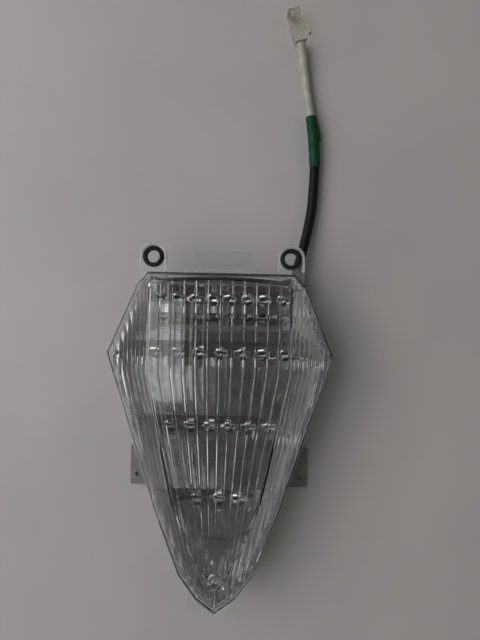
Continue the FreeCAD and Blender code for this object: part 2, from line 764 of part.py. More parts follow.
def make_screws(name, label, places):
    """Pan-head screws driven upwards from the back, as one group."""
    group = doc.addObject("Part::MultiFuse", name)
    pieces = []
    for i, (x, y) in enumerate(places):
        head = doc.addObject("Part::Cylinder", f"{name}Head{i}")
        head.setExpression("Radius", "dims.screw_head_r")
        head.setExpression("Height", "dims.screw_head")
        shank = doc.addObject("Part::Cylinder", f"{name}Shank{i}")
        shank.setExpression("Radius", f"dims.screw_r - {LOOSE}")
        shank.setExpression("Height", "dims.screw_length")
        for item in (head, shank):
            item.setExpression("Placement.Base.x", x)
            item.setExpression("Placement.Base.y", y)
            item.setExpression("Placement.Base.z", "dims.screw_recess")
            pieces.append(item)
    group.Shapes = pieces
    return keep(group, label)


def make_ear_grommet(side, sign):
    body = new_body(f"EarGrommet{side}")
    lip = "dims.grommet_lip"
    plate = "dims.flange_thick"
    hole = "dims.grommet_hole_r"
    revolve(body, f"EarGrommetTurn{side}", [
        (hole, f"-{lip}"), ("dims.grommet_r", f"-{lip}"), ("dims.grommet_r", "0"),
        ("dims.grommet_groove_r", "0"), ("dims.grommet_groove_r", plate),
        ("dims.grommet_r", plate), ("dims.grommet_r", f"{plate} + {lip}"),
        (hole, f"{plate} + {lip}")])
    body.setExpression("Placement.Base.x", f"{sign}dims.ear_x")
    body.setExpression("Placement.Base.y", EAR_Y)
    body.setExpression("Placement.Base.z", "dims.flange_z")
    return keep(body, f"ear_grommet_{side.lower()}")


def make_cable_gland():
    """Rubber gland in the boss, with a flange and a tapered tail."""
    body = new_body("Gland")
    revolve(body, "GlandTurn", [
        ("0", "-dims.gland_stem"), ("dims.gland_stem_r", "-dims.gland_stem"),
        ("dims.gland_stem_r", "0"),
        ("dims.gland_flange_r", "0"), ("dims.gland_flange_r", "dims.gland_flange"),
        ("dims.gland_stem_r + 0.6", "dims.gland_flange"),
        ("dims.gland_tip_r", "dims.gland_flange + dims.gland_tail"),
        ("0", "dims.gland_flange + dims.gland_tail")])
    body.Placement = FreeCAD.Placement(
        FreeCAD.Vector(0, 0, 0), FreeCAD.Rotation(FreeCAD.Vector(1, 0, 0), -90))
    body.setExpression("Placement.Base.x", "dims.gland_x")
    body.setExpression("Placement.Base.y", "dims.gland_face_y")
    body.setExpression("Placement.Base.z", GLAND_Z)
    return keep(body, "cable_gland")


def make_driver():
    """Driver board over the housing floor, with its parts and screws."""
    top = "dims.driver_z + dims.board_thick"
    corners = SCREW_PLACES["board"]
    make_plate("Driver", "driver_board", "-dims.driver_x", "dims.driver_x",
               "dims.driver_y - dims.driver_half_y", "dims.driver_y + dims.driver_half_y",
               "dims.driver_z", "dims.board_thick",
               [(x, y, "dims.screw_r + 0.1") for x, y in corners])
    for label, items in DRIVER_PARTS.items():
        group = doc.addObject("Part::MultiFuse" if len(items) > 1 else "Part::Compound",
                              label.title().replace("_", ""))
        boxes = []
        for i, (x, y, wide, deep, tall) in enumerate(items):
            box = doc.addObject("Part::Box", f"{group.Name}Body{i}")
            box.Length = wide
            box.Width = deep
            box.Height = tall
            box.Placement.Base = FreeCAD.Vector(x, 0, 0)
            box.setExpression("Placement.Base.y", f"dims.driver_y + ({y}) - {deep / 2}")
            box.setExpression("Placement.Base.z", top)
            boxes.append(box)
        if len(items) > 1:
            group.Shapes = boxes
        else:
            group.Links = boxes
        keep(group, label)
    pins = doc.addObject("Part::MultiFuse", "BoardScrews")
    parts = []
    for i, (x, y) in enumerate(corners):
        for kind, radius, low, tall in (
                ("Head", "dims.driver_screw_head_r", top, "dims.screw_head"),
                ("Shank", f"dims.screw_r - {LOOSE}", BOARD_SCREW_LOW, "dims.driver_screw_length")):
            item = doc.addObject("Part::Cylinder", f"BoardScrew{kind}{i}")
            item.setExpression("Radius", radius)
            item.setExpression("Height", tall)
            item.setExpression("Placement.Base.x", x)
            item.setExpression("Placement.Base.y", y)
            item.setExpression("Placement.Base.z", low)
            parts.append(item)
    pins.Shapes = parts
    keep(pins, "board_screws")


def make_breather():
    body = new_body("Breather")
    stem = f"dims.breather_r - {LOOSE}"
    revolve(body, "BreatherTurn", [
        ("0", "dims.breather_low"), ("dims.breather_cap_r", "dims.breather_low"),
        ("dims.breather_cap_r", "dims.back_z"), (stem, "dims.back_z"),
        (stem, FLOOR_TOP), ("0", FLOOR_TOP)])
    body.setExpression("Placement.Base.x", "dims.breather_x")
    body.setExpression("Placement.Base.y", "dims.breather_y")
    return keep(body, "breather_cap")


def rounded_wire(route):
    """Straight runs joined by tangent arcs, as large as the runs allow."""
    points = [FreeCAD.Vector(*place) for place in route]
    edges = []
    start = points[0]
    radii = []
    for before, here, after in zip(points, points[1:], points[2:]):
        run_in = here - before
        run_out = after - here
        turn = run_in.getAngle(run_out)
        setback = 0.45 * min(run_in.Length, run_out.Length)
        radius = setback / math.tan(turn / 2)
        radii.append(radius)
        direction_in = FreeCAD.Vector(run_in).normalize()
        direction_out = FreeCAD.Vector(run_out).normalize()
        arc_start = here - direction_in * setback
        arc_end = here + direction_out * setback
        bisector = (direction_out - direction_in).normalize()
        to_centre = radius / math.cos(turn / 2)
        middle = here + bisector * (to_centre - radius)
        edges.append(Part.LineSegment(start, arc_start).toShape())
        edges.append(Part.Arc(arc_start, middle, arc_end).toShape())
        start = arc_end
    edges.append(Part.LineSegment(start, points[-1]).toShape())
    return Part.Wire(edges), radii


def tube_shape(route, radius):
    wire, radii = rounded_wire(route)
    start = FreeCAD.Vector(*route[0])
    heading = FreeCAD.Vector(*route[1]) - start
    circle = Part.Wire([Part.Circle(start, heading, radius).toShape()])
    return wire.makePipeShell([circle], True, True), wire, radii


def make_tube(name, label, route, diameter):
    """Round cable or sleeve along a route."""
    radius = number(diameter) / 2
    solid, wire, radii = tube_shape(route, radius)
    tube = doc.addObject("Part::Feature", name)
    tube.Shape = solid
    expected = math.pi * radius ** 2 * wire.Length
    print(label, "length", round(wire.Length, 1), "radii", [round(r) for r in radii],
          "volume ratio", round(tube.Shape.Volume / expected, 4))
    return keep(tube, label)


def make_inner_wires():
    """Two supply wires beside each other, and flat leads from board to board."""
    top = "dims.driver_z + dims.board_thick"
    wires = []
    for side in (-1, 1):
        shift = side * (number("dims.wire_d") / 2 + 0.1)
        route = [(x + shift, y, z) for x, y, z in SUPPLY_ROUTE]
        wires.append(tube_shape(route, number("dims.wire_d") / 2)[0])
    supply = doc.addObject("Part::Feature", "SupplyWires")
    supply.Shape = Part.makeCompound(wires)
    keep(supply, "supply_wires")
    leads = new_body("BoardLeads")
    for row, (low_x, start_y, end_y, end_z) in BOARD_LEADS.items():
        back = "+" if end_y < start_y else "-"
        bend_y = f"{end_y} {back} dims.flat_lead"
        sketch = sketch_on(leads, f"BoardLead{row}", "YZ_Plane", f"{low_x}")
        add_loop(sketch, [
            (f"{start_y}", top), (f"{end_y}", top), (f"{end_y}", f"{end_z}"),
            (bend_y, f"{end_z}"), (bend_y, f"{top} + dims.flat_lead"),
            (f"{start_y}", f"{top} + dims.flat_lead")])
        pad(leads, sketch, "dims.flat_lead_width", f"BoardLeadPad{row}")
    return keep(leads, "board_leads")


def place_on_plug(item):
    """Put a piece drawn about the plug's front centre, nose towards +Y, in place."""
    item.Placement = FreeCAD.Placement(
        FreeCAD.Vector(0, 0, 0), FreeCAD.Rotation(FreeCAD.Vector(0, 0, 1), 1.0))
    item.setExpression("Placement.Base.x", "dims.plug_front_x")
    item.setExpression("Placement.Base.y", "dims.plug_front_y")
    item.setExpression("Placement.Rotation.Angle", "dims.plug_heading * 1 deg")


def add_contact_row(sketch, middle, length, width):
    """Evenly spaced narrow rectangles, one for each contact."""
    for i in range(CONTACTS):
        level = f"dims.plug_tall / 2 + ({i - (CONTACTS - 1) / 2}) * dims.contact_pitch"
        add_loop(sketch, rectangle(f"{middle} - {length} / 2", f"{middle} + {length} / 2",
                                   f"{level} - {width} / 2", f"{level} + {width} / 2"))


def make_plug():
    """Clear cable plug on its side: the latch faces +X, the contacts face -X."""
    half = "dims.plug_thick / 2"
    body = new_body("PlugBody")
    block = sketch_on(body, "PlugBlock", offset="0")
    add_loop(block, rectangle(f"-{half}", half, "-dims.plug_length", "0"))
    pad(body, block, "dims.plug_tall", "PlugBlockPad")
    slot_middle = "-dims.slot_setback - dims.slot_length / 2"
    slots = sketch_on(body, "ContactSlots", "YZ_Plane", f"-{half} - 1")
    add_contact_row(slots, slot_middle, "dims.slot_length", "dims.slot_width")
    pocket(body, slots, "dims.slot_depth + 1", "ContactSlotsCut")
    place_on_plug(body)
    keep(body, "plug_body")
    contacts = new_body("PlugContacts")
    blades = sketch_on(contacts, "Blades", "YZ_Plane",
                       f"-{half} + dims.slot_depth - dims.contact_tall - {LOOSE}")
    add_contact_row(blades, slot_middle, "dims.contact_length", "dims.contact_thick")
    pad(contacts, blades, "dims.contact_tall", "BladesPad")
    place_on_plug(contacts)
    keep(contacts, "plug_contacts")
    latch = new_body("PlugLatch")
    arm = sketch_on(latch, "LatchArm", offset="(dims.plug_tall - dims.latch_tall) / 2")
    lean = "dims.latch_length * sin(dims.latch_rise * 1 deg)"
    back = "dims.latch_length * cos(dims.latch_rise * 1 deg)"
    inner = f"{half} + {LOOSE}"
    front = "-dims.latch_setback"
    add_loop(arm, [
        (inner, front), (f"{inner} + dims.latch_thick", front),
        (f"{inner} + dims.latch_thick + {lean}", f"{front} - {back}"),
        (f"{inner} + {lean}", f"{front} - {back}")])
    pad(latch, arm, "dims.latch_tall", "LatchArmPad")
    place_on_plug(latch)
    keep(latch, "plug_latch")


def check_and_write():
    """Stop on any failed object, then write each sub-part."""
    failed = [item.Name for item in doc.Objects
              if "Invalid" in item.State or "Error" in item.State]
    for item in subparts:
        shape = item.Shape
        if shape.isNull() or not shape.isValid() or not shape.Solids:
            failed.append(item.Label)
    if failed:
        raise RuntimeError("failed objects: " + ", ".join(failed))
    os.makedirs("parts", exist_ok=True)
    for item in subparts:
        item.Shape.exportStep(f"parts/{item.Label}.step")
        box = item.Shape.BoundBox
        print(f"{item.Label:18s} solids {len(item.Shape.Solids)} volume {item.Shape.Volume:10.1f}"
              f" x {box.XMin:7.1f} {box.XMax:7.1f} y {box.YMin:7.1f} {box.YMax:7.1f}"
              f" z {box.ZMin:6.2f} {box.ZMax:6.2f}")


make_housing()
make_lens()
make_ring("Seal", FLANGE_TOP, "dims.seal_thick", "0.4", "2.4", "lens_seal")
make_reflector()
for row_number in LAMPS_IN_ROW:
    make_lamp_board(row_number)
    make_lamp_row(row_number)
make_tip_lamp()
make_driver()
make_strap_and_tabs()
make_screws("TabScrews", "tab_screws", SCREW_PLACES["tab"])
make_screws("StrapScrews", "strap_screws", SCREW_PLACES["strap"])
make_ear_grommet("Left", "-")
make_ear_grommet("Right", "")
make_cable_gland()
make_breather()
make_tube("BlackLead", "lead_black", BLACK_ROUTE, "dims.black_d")
make_tube("SpliceTape", "splice_tape", TAPE_ROUTE, "dims.tape_d")
make_tube("WhiteLead", "lead_white", WHITE_ROUTE, "dims.white_d")
make_inner_wires()
make_plug()
doc.recompute()
check_and_write()
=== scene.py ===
import math

import bmesh
import bpy
from mathutils import Matrix, Vector


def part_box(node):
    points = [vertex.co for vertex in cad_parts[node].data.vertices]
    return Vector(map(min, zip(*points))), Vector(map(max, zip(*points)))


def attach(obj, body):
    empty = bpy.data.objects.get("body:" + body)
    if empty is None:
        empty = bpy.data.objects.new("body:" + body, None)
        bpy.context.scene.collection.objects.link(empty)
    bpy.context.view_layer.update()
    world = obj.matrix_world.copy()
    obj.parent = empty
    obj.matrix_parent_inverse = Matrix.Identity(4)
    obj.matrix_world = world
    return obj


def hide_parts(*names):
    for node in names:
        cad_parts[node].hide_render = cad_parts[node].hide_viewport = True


# Looks of a clear LED tail light with its lead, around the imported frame.  Metres.
# +Z points out through the lens, +Y towards the ears, X across the lamp.

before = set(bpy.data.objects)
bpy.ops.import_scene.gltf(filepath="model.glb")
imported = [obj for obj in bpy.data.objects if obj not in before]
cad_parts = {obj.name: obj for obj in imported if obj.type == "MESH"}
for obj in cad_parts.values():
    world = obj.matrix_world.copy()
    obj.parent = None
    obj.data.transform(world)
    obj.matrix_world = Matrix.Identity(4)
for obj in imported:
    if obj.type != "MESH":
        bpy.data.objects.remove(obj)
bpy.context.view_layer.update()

MM = 0.001
LAMP_BODY = "lamp"
LATCH_BODY = "latch"


def place(x, y, z):
    """Point given in millimetres."""
    return Vector((x, y, z)) * MM


# Camera, floor and light ------------------------------------------------------------

CAMERA_HEIGHT = 469.0
CAMERA_X = 12.7
CAMERA_Y = 79.0
CAMERA_ROLL = 1.29
FOCAL_LENGTH = 37.0


def make_camera():
    """Camera looking straight down at the lamp, a little rolled."""
    data = bpy.data.cameras.new("camera")
    data.lens = FOCAL_LENGTH
    data.sensor_width = 36.0
    data.clip_start = 0.01
    camera = bpy.data.objects.new("camera", data)
    camera.location = place(CAMERA_X, CAMERA_Y, CAMERA_HEIGHT)
    camera.rotation_euler = (0, 0, math.radians(CAMERA_ROLL))
    bpy.context.collection.objects.link(camera)
    bpy.context.scene.camera = camera


def make_area_light(name, location, size, power, colour, target=(0, 60, 20)):
    data = bpy.data.lights.new(name, "AREA")
    data.shape = "RECTANGLE"
    data.size = size[0] * MM
    data.size_y = size[1] * MM
    data.energy = power
    data.color = colour
    light = bpy.data.objects.new(name, data)
    light.location = place(*location)
    aim = place(*target) - light.location
    light.rotation_euler = aim.to_track_quat("-Z", "Y").to_euler()
    bpy.context.collection.objects.link(light)


def make_lights():
    """Large soft light from the left, faint ones from the right and from past the tip, a window
    beyond the ears, a pale ceiling panel, and a strip and three small lamps that glint."""
    make_area_light("left_light", (-1100, 150, 1050), (1900, 1200), 13.9, (0.98, 0.97, 1.0))
    make_area_light("front_light", (0, -1050, 1000), (1000, 320), 0.2, (1.0, 0.98, 0.95))
    make_area_light("room_light", (950, -100, 900), (700, 700), 0.1, (1.0, 0.87, 0.72))
    make_area_light("window_light", (-560, 900, 570), (900, 975), 0.9, (0.95, 0.97, 1.0),
                    (-560, 0, 570))
    for x, y in ((-1100, 420), (1150, 350), (150, -1200)):
        make_area_light("lamp_bulb", (x, y, 850), (50, 50), 0.6, (1.0, 0.96, 0.9))
    make_area_light("ceiling_panel", (-720, 130, 2000), (480, 860), 2.0, (0.97, 0.97, 1.0),
                    (-720, 130, 0))
    make_area_light("right_strip", (700, 800, 700), (160, 900), 0.3, (1.0, 0.93, 0.84))
    make_world()
    bpy.context.scene.view_settings.view_transform = "Standard"


def make_world():
    """Dim room, paler towards the left wall."""
    world = bpy.data.worlds.new("surroundings")
    world.use_nodes = True
    tree = world.node_tree
    where = tree.nodes.new("ShaderNodeTexCoord")
    parts = tree.nodes.new("ShaderNodeSeparateXYZ")
    tree.links.new(where.outputs["Generated"], parts.inputs[0])
    spread = tree.nodes.new("ShaderNodeMapRange")
    for name, value in (("From Min", -0.2), ("From Max", -0.9),
                        ("To Min", 0.06), ("To Max", 0.26)):
        spread.inputs[name].default_value = value
    tree.links.new(parts.outputs["X"], spread.inputs["Value"])
    background = tree.nodes["Background"]
    background.inputs["Color"].default_value = (1.0, 0.985, 0.965, 1)
    tree.links.new(spread.outputs[0], background.inputs["Strength"])
    bpy.context.scene.world = world


# Material helpers -------------------------------------------------------------------

def new_material(name, colour, roughness, metallic=0.0, **sockets):
    """Principled material with plain values; extra sockets are given by their names."""
    material = bpy.data.materials.new(name)
    material.use_nodes = True
    shader = material.node_tree.nodes["Principled BSDF"]
    shader.inputs["Base Color"].default_value = (*colour, 1)
    shader.inputs["Roughness"].default_value = roughness
    shader.inputs["Metallic"].default_value = metallic
    for socket, value in sockets.items():
        shader.inputs[socket.replace("_", " ")].default_value = value
    return material


def noise_texture(material, scale, detail=3.0, stretch=(1, 1, 1)):
    """Noise in the object's own metres, so its grain keeps a real size."""
    tree = material.node_tree
    where = tree.nodes.new("ShaderNodeTexCoord")
    mapping = tree.nodes.new("ShaderNodeMapping")
    mapping.inputs["Scale"].default_value = stretch
    noise = tree.nodes.new("ShaderNodeTexNoise")
    noise.inputs["Scale"].default_value = scale
    noise.inputs["Detail"].default_value = detail
    tree.links.new(where.outputs["Object"], mapping.inputs["Vector"])
    tree.links.new(mapping.outputs["Vector"], noise.inputs["Vector"])
    return noise.outputs["Fac"]


def ramp(material, fac, low, high, start=0.35, end=0.65):
    """Colour ramp between two colours or two grey values."""
    node = material.node_tree.nodes.new("ShaderNodeValToRGB")
    ends = [value if isinstance(value, tuple) else (value,) * 3 for value in (low, high)]
    node.color_ramp.elements[0].position = start
    node.color_ramp.elements[0].color = (*ends[0], 1)
    node.color_ramp.elements[1].position = end
    node.color_ramp.elements[1].color = (*ends[1], 1)
    material.node_tree.links.new(fac, node.inputs["Fac"])
    return node.outputs["Color"]


def feed(material, output, socket):
    shader = material.node_tree.nodes["Principled BSDF"]
    material.node_tree.links.new(output, shader.inputs[socket])


def add_bump(material, fac, distance, strength=0.5):
    tree = material.node_tree
    bump = tree.nodes.new("ShaderNodeBump")
    bump.inputs["Strength"].default_value = strength
    bump.inputs["Distance"].default_value = distance
    tree.links.new(fac, bump.inputs["Height"])
    feed(material, bump.outputs["Normal"], "Normal")


# Materials --------------------------------------------------------------------------

def clear_plastic(name, tint, roughness, ior=1.49, clear=1.0):
    """Clear moulded plastic with faint handling marks and flow ripples; clear is how much of
    the light goes through instead of being scattered."""
    material = new_material(name, tint, roughness, Transmission_Weight=clear, IOR=ior)
    marks = noise_texture(material, 90, 2.0, (1, 0.35, 1))
    feed(material, ramp(material, marks, roughness, roughness + 0.03, 0.45, 0.75), "Roughness")
    add_bump(material, noise_texture(material, 45, 2.0), 0.0003, 0.12)
    pass_lamp_light(material, tint)
    return material


def pass_lamp_light(material, tint):
    """Shadow and diffuse rays go straight through, as they nearly do through thin walls."""
    tree = material.node_tree
    straight = tree.nodes.new("ShaderNodeBsdfTransparent")
    straight.inputs["Color"].default_value = (*tint, 1)
    ray = tree.nodes.new("ShaderNodeLightPath")
    straight_ray = tree.nodes.new("ShaderNodeMath")
    straight_ray.operation = "MAXIMUM"
    tree.links.new(ray.outputs["Is Shadow Ray"], straight_ray.inputs[0])
    tree.links.new(ray.outputs["Is Diffuse Ray"], straight_ray.inputs[1])
    either = tree.nodes.new("ShaderNodeMixShader")
    tree.links.new(straight_ray.outputs[0], either.inputs[0])
    tree.links.new(tree.nodes["Principled BSDF"].outputs[0], either.inputs[1])
    tree.links.new(straight.outputs[0], either.inputs[2])
    tree.links.new(either.outputs[0], tree.nodes["Material Output"].inputs["Surface"])


def bright_mirror():
    """Vacuum-metallised plastic: bright and slightly wavy on the steps, a little dusty, and
    finely textured and rougher on the upright side walls, where painted shade darkens the colour."""
    material = new_material("bright_mirror", (0.71, 0.71, 0.695), 0.07, 1.0)
    tree = material.node_tree
    where = tree.nodes.new("ShaderNodeTexCoord")
    facing = tree.nodes.new("ShaderNodeSeparateXYZ")
    tree.links.new(where.outputs["Normal"], facing.inputs[0])
    wall = ramp(material, facing.outputs["Z"], 0.65, 0.0, 0.42, 0.55)
    dust = ramp(material, noise_texture(material, 220, 5.0),
                (0.57, 0.57, 0.555), (0.68, 0.68, 0.665))
    # Painted shade: upright walls, picked by their normal, are mixed towards dark grey so they
    # mirror less light.
    darker = tree.nodes.new("ShaderNodeMixRGB")
    darker.inputs["Color2"].default_value = (0.08, 0.08, 0.075, 1)
    tree.links.new(wall, darker.inputs["Fac"])
    tree.links.new(dust, darker.inputs["Color1"])
    feed(material, darker.outputs[0], "Base Color")
    rougher = tree.nodes.new("ShaderNodeMath")
    rougher.operation = "MAXIMUM"
    tree.links.new(wall, rougher.inputs[0])
    steps = ramp(material, noise_texture(material, 60, 3.0), 0.06, 0.13)
    tree.links.new(steps, rougher.inputs[1])
    feed(material, rougher.outputs[0], "Roughness")
    add_bump(material, noise_texture(material, 55, 1.0), 0.0006, 0.25)
    return material


def rubber(name, colour, roughness=0.62):
    material = new_material(name, colour, roughness, Specular_IOR_Level=0.2)
    lighter = tuple(value * 1.5 + 0.004 for value in colour)
    feed(material, ramp(material, noise_texture(material, 140, 4.0), colour, lighter), "Base Color")
    add_bump(material, noise_texture(material, 900, 3.0), 0.0002, 0.35)
    return material


def moulded_plastic(name, colour, roughness):
    material = new_material(name, colour, roughness)
    darker = tuple(value * 0.82 for value in colour)
    lighter = tuple(min(1.0, value * 1.12) for value in colour)
    feed(material, ramp(material, noise_texture(material, 120, 5.0), darker, lighter), "Base Color")
    feed(material, ramp(material, noise_texture(material, 300, 3.0),
                        roughness - 0.06, roughness + 0.08), "Roughness")
    add_bump(material, noise_texture(material, 1500, 2.0), 0.0002, 0.3)
    return material


def plain_metal(name, colour, roughness):
    material = new_material(name, colour, roughness, 1.0)
    streaks = noise_texture(material, 500, 4.0, (1, 1, 0.2))
    feed(material, ramp(material, streaks, roughness * 0.7, roughness * 1.4), "Roughness")
    add_bump(material, streaks, 0.00005, 0.3)
    return material


def circuit_board():
    """Green solder mask with copper tracks showing as a lighter pattern."""
    material = new_material("circuit_board", (0.02, 0.05, 0.035), 0.35)
    tree = material.node_tree
    where = tree.nodes.new("ShaderNodeTexCoord")
    tracks = tree.nodes.new("ShaderNodeTexBrick")
    tracks.inputs["Scale"].default_value = 220
    tracks.inputs["Mortar Size"].default_value = 0.035
    tracks.inputs["Color1"].default_value = (0.012, 0.040, 0.026, 1)
    tracks.inputs["Color2"].default_value = (0.020, 0.055, 0.036, 1)
    tracks.inputs["Mortar"].default_value = (0.05, 0.10, 0.06, 1)
    tree.links.new(where.outputs["Object"], tracks.inputs["Vector"])
    feed(material, tracks.outputs["Color"], "Base Color")
    add_bump(material, noise_texture(material, 800, 2.0), 0.0001, 0.2)
    return material


def floor_material():
    """Pale painted board with a fine, faint grain."""
    material = new_material("floor_paint", (0.50, 0.48, 0.46), 0.45)
    feed(material, ramp(material, noise_texture(material, 9, 4.0),
                        (0.50, 0.485, 0.47), (0.54, 0.52, 0.505)), "Base Color")
    add_bump(material, noise_texture(material, 900, 2.0), 0.0002, 0.12)
    return material


# Mesh helpers -----------------------------------------------------------------------

def mesh_object(name, vertices, faces, material):
    mesh = bpy.data.meshes.new(name)
    mesh.from_pydata([tuple(point) for point in vertices], [], faces)
    mesh.update()
    piece = bpy.data.objects.new(name, mesh)
    bpy.context.collection.objects.link(piece)
    mesh.materials.append(material)
    return piece


def soften(piece, sharp_angle=30.0):
    """Smooth shading with creases kept where faces turn by more than sharp_angle."""
    work = bmesh.new()
    work.from_mesh(piece.data)
    bmesh.ops.remove_doubles(work, verts=work.verts, dist=1e-6)
    bmesh.ops.recalc_face_normals(work, faces=work.faces)
    limit = math.radians(sharp_angle)
    for face in work.faces:
        face.smooth = True
    for edge in work.edges:
        edge.smooth = len(edge.link_faces) == 2 and edge.calc_face_angle(0.0) < limit
    work.to_mesh(piece.data)
    work.free()


def own_piece(piece, body=LAMP_BODY, stands_for=()):
    """Give a new piece its body and hide the frame nodes it stands for."""
    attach(piece, body)
    if stands_for:
        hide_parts(*stands_for)
    return piece


def lathe(profile, segments=24):
    """Vertices and faces of a turned shape from (radius, height) pairs in millimetres."""
    vertices = []
    rings = []
    for radius, height in profile:
        if radius == 0:
            rings.append([len(vertices)] * segments)
            vertices.append(Vector((0, 0, height)))
            continue
        rings.append(list(range(len(vertices), len(vertices) + segments)))
        for i in range(segments):
            angle = 2 * math.pi * i / segments
            vertices.append(Vector((radius * math.cos(angle), radius * math.sin(angle), height)))
    faces = []
    for low, high in zip(rings, rings[1:]):
        for i in range(segments):
            corner = [low[i], low[(i + 1) % segments], high[(i + 1) % segments], high[i]]
            face = list(dict.fromkeys(corner))
            if len(face) > 2:
                faces.append(face)
    return vertices, faces


def repeated(shape, transforms):
    """One mesh of many placed copies, in metres."""
    vertices, faces = shape
    all_vertices = []
    all_faces = []
    for matrix in transforms:
        start = len(all_vertices)
        all_vertices += [(matrix @ point) * MM for point in vertices]
        all_faces += [[start + i for i in face] for face in faces]
    return all_vertices, all_faces


# Lens -------------------------------------------------------------------------------

# Right half of the rim, from the ears' corner to the tip, and of the crest that the
# side facets run up towards, in millimetres.
RIM = [(48.3, 109.8), (55.6, 102.0), (75.0, 56.0), (41.5, -47.0),
       (24.5, -90.0), (12.8, -106.0), (0.0, -115.5)]
CREST = [(41.3, 100.5), (42.2, 96.8), (40.2, 43.3), (24.2, -32.0),
         (13.0, -50.0), (5.0, -60.0), (0.0, -64.5)]
LENS_LOW = 35.0
LENS_RIM_TOP = 37.0
CREST_Z = 66.5
CROWN_Z = 66.0
CROWN_Y = 37.0
CROWN_RADIUS = 523.0
CROWN_CROSS_RADIUS = 300.0
LENS_WALL = 2.4
RIM_LEDGE = 1.6
LEDGE_TOP = 37.3
TOP_BOW = 2.6
BOW_REACH = 22.0
ROW_LENGTH = 3.5
# Flutes run down the inside, along the crest's long stretches.  Their depth and the thin rib
# between two of them are shares of a flute's width, and the steps are where the mesh divides
# one.  The facets' flutes keep one width and are cut off where a facet ends.
FACE_FLUTES = 12
FACE_DEPTH = 0.036
FACE_RIB = 0.05
SIDE_FLUTES = 18
SIDE_PITCH = 3.0
SIDE_OUTERMOST = 36.0
SIDE_DEPTH = 0.075
SIDE_RIB = 0.1
FLUTE_STEPS = (0.0, 0.05, 0.1, 0.3, 0.5, 0.7, 0.9, 0.95)
RIB_HALF = 0.07
# The front's flutes get shallower over this stretch, down to a share of their full depth.
FADE_START = -35.0
FADE_END = -65.0
TIP_DEPTH = 0.6
LENS_CREASE = 17.0
INSIDE_LENS = Vector((0, 20, 40))


def crown_height(x, y):
    """Height of the crowned front face in millimetres."""
    along = CROWN_RADIUS - math.sqrt(CROWN_RADIUS ** 2 - (y - CROWN_Y) ** 2)
    across = CROWN_CROSS_RADIUS - math.sqrt(CROWN_CROSS_RADIUS ** 2 - x ** 2)
    return CROWN_Z - along - across


def face_point(rim, crest):
    """Where the line from a rim point up to its crest point meets the crown."""
    low, high = 0.0, 1.0
    for _ in range(40):
        middle = (low + high) / 2
        x = rim[0] + (crest[0] - rim[0]) * middle
        y = rim[1] + (crest[1] - rim[1]) * middle
        if LENS_RIM_TOP + (CREST_Z - LENS_RIM_TOP) * middle < crown_height(x, y):
            low = middle
        else:
            high = middle
    return x, y


def stepped_path(points):
    """Marks along a path of the rim's points, about ROW_LENGTH apart: (segment, part) pairs."""
    marks = []
    for i in range(len(RIM) - 1):
        run = math.dist(points[i], points[i + 1])
        count = max(3, round(run / ROW_LENGTH))
        marks += [(i, j / count) for j in range(count)]
    marks.append((len(RIM) - 2, 1.0))
    return marks


def between(low, high, part):
    return tuple(a + (b - a) * part for a, b in zip(low, high))


def on_path(points, mark):
    i, part = mark
    return between(points[i], points[i + 1], part)


def columns_across(count):
    """Where the mesh columns of a fluted wall lie: the fraction across, and across a flute."""
    columns = [((i + part) / count, part) for i in range(count) for part in FLUTE_STEPS]
    return columns + [(1.0, 0.0)]


def flute(part, pitch, depth, rib_height):
    """Extra wall inside a flute, part from 0 to 1 across it, with a rib at each border."""
    rib = rib_height * max(0.0, 1 - min(part, 1 - part) / RIB_HALF)
    return pitch * (depth * (1 - (2 * part - 1) ** 2) + rib)


def flute_edge(face, y):
    """Half width of the fluted front: the crest's long stretches, carried straight on."""
    upper, middle, lower = face[1:4]
    start, end = (upper, middle) if y > middle[1] else (middle, lower)
    return start[0] + (end[0] - start[0]) * (y - start[1]) / (end[1] - start[1])


def part_at(face, low, high, offset):
    """How far from the rim to the crest a facet comes to an offset outside flute_edge."""
    start, end = 0.0, 1.0
    for _ in range(30):
        middle = (start + end) / 2
        x, y, _ = between(low, high, middle)
        if x - flute_edge(face, y) > offset:
            start = middle
        else:
            end = middle
    return (start + end) / 2


def tip_share(y):
    """Share of their full depth that the front's flutes keep as they run into the tip."""
    part = (FADE_START - y) / (FADE_START - FADE_END)
    return 1 - (1 - TIP_DEPTH) * max(0.0, min(1.0, part))


def face_row(face, half, y, plain):
    """Points of the front face at one height of the lamp, with their flute thickness."""
    edge = flute_edge(face, y)
    row = []
    for fraction, part in columns_across(FACE_FLUTES):
        x = edge * (2 * fraction - 1)
        inside = abs(x) < half - 0.01
        x = max(-half, min(half, x))
        across = x / half if half else 0.0
        fade = max(0.0, 1 - (face[0][1] - y) / BOW_REACH)
        bowed = y + TOP_BOW * (1 - across ** 2) * fade ** 2
        width = 2 * edge / FACE_FLUTES
        thick = 0.0
        if inside and not plain:
            thick = flute(part, width, FACE_DEPTH, FACE_RIB) * tip_share(y)
        row.append(((x, bowed, crown_height(x, bowed)), thick))
    return row


def facet_row(face, low, high, plain):
    """Points of the right facet from a rim point up to its crest point."""
    row = []
    for fraction, part in columns_across(SIDE_FLUTES):
        offset = SIDE_OUTERMOST - SIDE_PITCH * SIDE_FLUTES * fraction
        reach = part_at(face, low, high, offset)
        thick = 0.0
        if 0.002 < reach < 0.998 and not plain:
            thick = flute(part, SIDE_PITCH, SIDE_DEPTH, SIDE_RIB)
        row.append((between(low, high, round(reach, 6)), thick))
    return row


